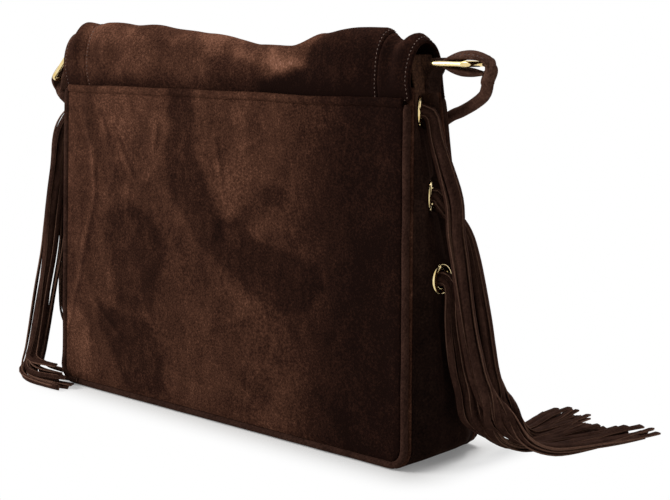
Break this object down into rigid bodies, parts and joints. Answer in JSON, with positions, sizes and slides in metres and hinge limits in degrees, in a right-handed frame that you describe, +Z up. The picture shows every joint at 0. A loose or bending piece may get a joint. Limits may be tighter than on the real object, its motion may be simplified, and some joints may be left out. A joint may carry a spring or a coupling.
{
  "type": "fringed suede shoulder bag",
  "caption": "Suede shoulder bag with a fold-over flap, a back slip pocket, a rolled strap on gold rings and laced fringe hanging from eyelets at both ends.",
  "frame": {"origin": "middle of the flat underside, on the surface that the bag stands on", "axes": "+Z up, +X along the bag's width towards its left end seen from the back, +Y out of the back with the slip pocket; the flap hangs over the front, -Y"},
  "size_m": [0.5121, 0.2284, 0.3],
  "materials": {
    "suede": "chocolate brown suede, brushed nap",
    "suede_dark": "darker chocolate brown suede",
    "suede_fringe": "suede strips with cut edges",
    "lining": "woven lining",
    "board": "stiff board",
    "gold": "polished pale gold"
  },
  "bodies": {
    "bag": {"back_panel": "suede", "back_pocket": "suede", "front_panel": "suede", "base_panel": "suede", "base_board": "board", "lining": "lining", "piping_back": "suede", "piping_front": "suede", "flap_centre": "suede", "flap_end_left": "suede", "flap_end_right": "suede", "gusset_left": "suede_dark", "gusset_right": "suede_dark", "strap_tab_left": "suede_dark", "strap_tab_right": "suede_dark", "strap": "suede", "eyelet_left_1": "gold", "eyelet_left_2": "gold", "eyelet_left_3": "gold", "eyelet_right_1": "gold", "eyelet_right_2": "gold", "eyelet_right_3": "gold", "tassel_left_1": "suede_fringe", "tassel_left_2": "suede_fringe", "tassel_left_3": "suede_fringe", "tassel_right_1": "suede_fringe", "tassel_right_2": "suede_fringe", "tassel_right_3": "suede_fringe"},
    "ring_left": {"ring_left": "gold", "strap_end_left": "suede"},
    "ring_right": {"ring_right": "gold", "strap_end_right": "suede"}
  },
  "joints": [
    {"name": "ring_left_swing", "type": "hinge", "parent": "bag", "child": "ring_left", "pos_m": [0.188, 0.02, 0.2735], "axis": [0, -1, 0], "range_deg": [-18, 115], "deforming": ["strap"]},
    {"name": "ring_right_swing", "type": "hinge", "parent": "bag", "child": "ring_right", "pos_m": [-0.188, 0.02, 0.2735], "axis": [0, 1, 0], "range_deg": [-60, 72], "deforming": ["strap"]}
  ]
}
